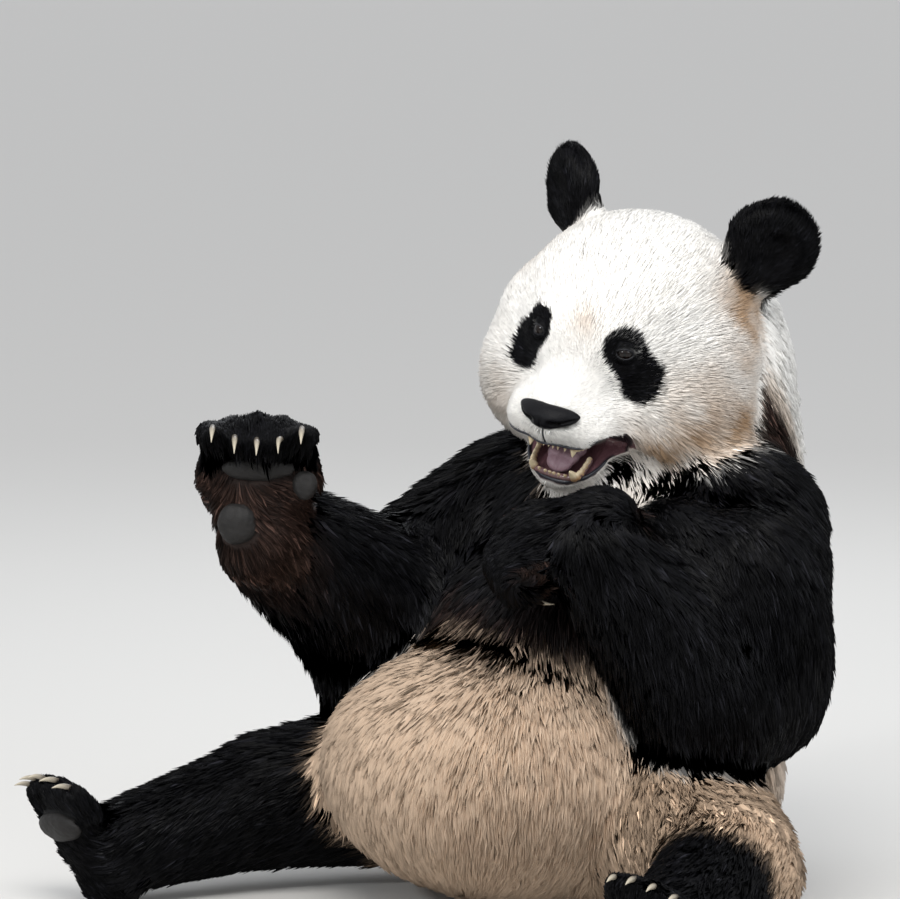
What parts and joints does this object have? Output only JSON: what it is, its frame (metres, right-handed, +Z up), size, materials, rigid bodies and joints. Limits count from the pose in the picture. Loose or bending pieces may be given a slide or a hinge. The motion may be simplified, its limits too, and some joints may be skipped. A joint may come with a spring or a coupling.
{
  "type": "giant panda figure",
  "caption": "Life-size still model of an adult giant panda sitting on its rump with both forepaws raised to its open mouth, as when it feeds.",
  "frame": {"origin": "on the floor, on the flat of the rump that the panda sits on, under its spine", "axes": "+Z up, the panda faces -Y, its own left side is +X"},
  "size_m": [0.9707, 0.8719, 0.885],
  "materials": {
    "white_coat": "dense soft warm-white fur",
    "tan_coat": "dense fur stained tan",
    "black_coat": "long glossy black fur",
    "nose_skin": "moist fine-grained skin",
    "pad_skin": "matte rough skin",
    "eye_gloss": "wet gloss",
    "claw_horn": "smooth horn",
    "tooth_ivory": "worn enamel",
    "tongue_flesh": "moist flesh"
  },
  "bodies": {
    "root": {"belly": "tan_coat", "chest": "black_coat", "ear_left": "black_coat", "ear_right": "black_coat", "eye_left": "eye_gloss", "eye_right": "eye_gloss", "fore_claw_left_1": "claw_horn", "fore_claw_left_2": "claw_horn", "fore_claw_left_3": "claw_horn", "fore_claw_left_4": "claw_horn", "fore_claw_left_5": "claw_horn", "fore_claw_right_1": "claw_horn", "fore_claw_right_2": "claw_horn", "fore_claw_right_3": "claw_horn", "fore_claw_right_4": "claw_horn", "fore_claw_right_5": "claw_horn", "fore_paw_left": "black_coat", "fore_paw_right": "black_coat", "forearm_left": "black_coat", "forearm_right": "black_coat", "head": "white_coat", "hind_claw_left_1": "claw_horn", "hind_claw_left_2": "claw_horn", "hind_claw_left_3": "claw_horn", "hind_claw_left_4": "claw_horn", "hind_claw_left_5": "claw_horn", "hind_claw_right_1": "claw_horn", "hind_claw_right_2": "claw_horn", "hind_claw_right_3": "claw_horn", "hind_claw_right_4": "claw_horn", "hind_claw_right_5": "claw_horn", "hind_foot_left": "black_coat", "hind_foot_right": "black_coat", "lower_jaw": "white_coat", "lower_teeth": "tooth_ivory", "neck": "white_coat", "nose": "nose_skin", "palm_pad_left": "pad_skin", "palm_pad_right": "pad_skin", "rump": "tan_coat", "shank_left": "black_coat", "shank_right": "black_coat", "sole_pad_left": "pad_skin", "sole_pad_right": "pad_skin", "tail": "white_coat", "thigh_left": "tan_coat", "thigh_right": "black_coat", "thumb_pad_left": "pad_skin", "thumb_pad_right": "pad_skin", "tongue": "tongue_flesh", "upper_arm_left": "black_coat", "upper_arm_right": "black_coat", "upper_teeth": "tooth_ivory", "wrist_pad_left": "pad_skin", "wrist_pad_right": "pad_skin"}
  },
  "joints": []
}
